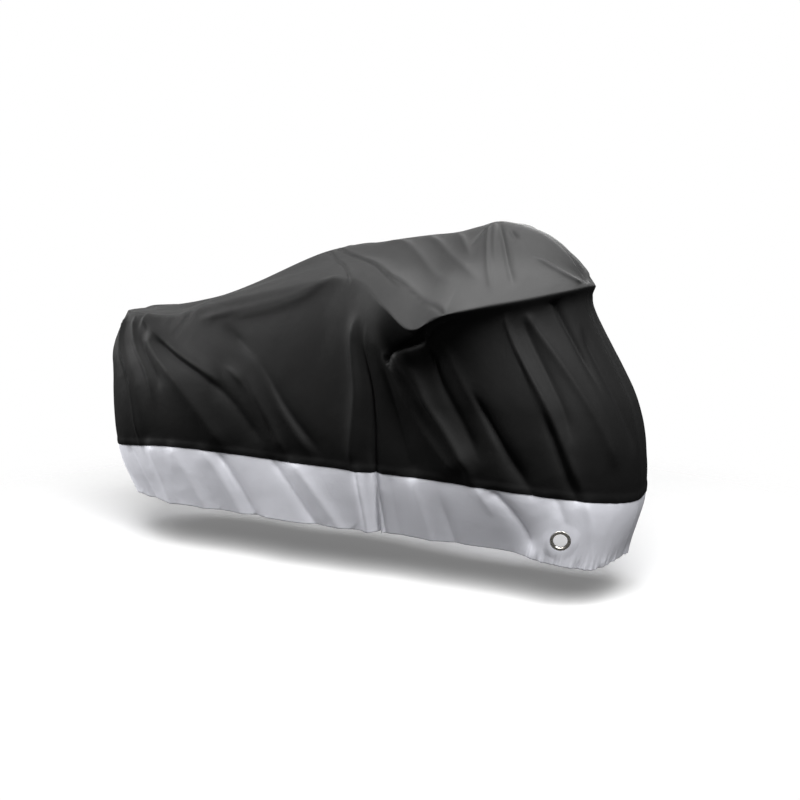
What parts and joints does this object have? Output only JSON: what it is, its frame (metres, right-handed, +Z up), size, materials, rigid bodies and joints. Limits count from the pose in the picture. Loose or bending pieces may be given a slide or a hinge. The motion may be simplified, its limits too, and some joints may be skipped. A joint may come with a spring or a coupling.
{
  "type": "motorcycle cover",
  "caption": "Fitted coated-cloth cover for a motorcycle: dark upper panels, silver lower bands with a gathered hem and lock eyelets.",
  "frame": {"origin": "underside of the crown on the centre seam, where the machine's screen carries the cover; the floor is 1.183 m below", "axes": "+X forwards to the front wheel, +Y to the machine's left, +Z up"},
  "size_m": [2.0933, 0.7396, 1.0568],
  "materials": {
    "black_cloth": "black coated polyester taffeta, soft satin",
    "silver_cloth": "aluminium-pigment silver coated polyester, satin",
    "nickel": "nickel-plated brass, polished"
  },
  "bodies": {
    "root": {"upper_panel_right": "black_cloth", "upper_panel_left": "black_cloth", "lower_band_right": "silver_cloth", "lower_band_left": "silver_cloth", "eyelet_right": "nickel", "eyelet_left": "nickel"}
  },
  "joints": []
}
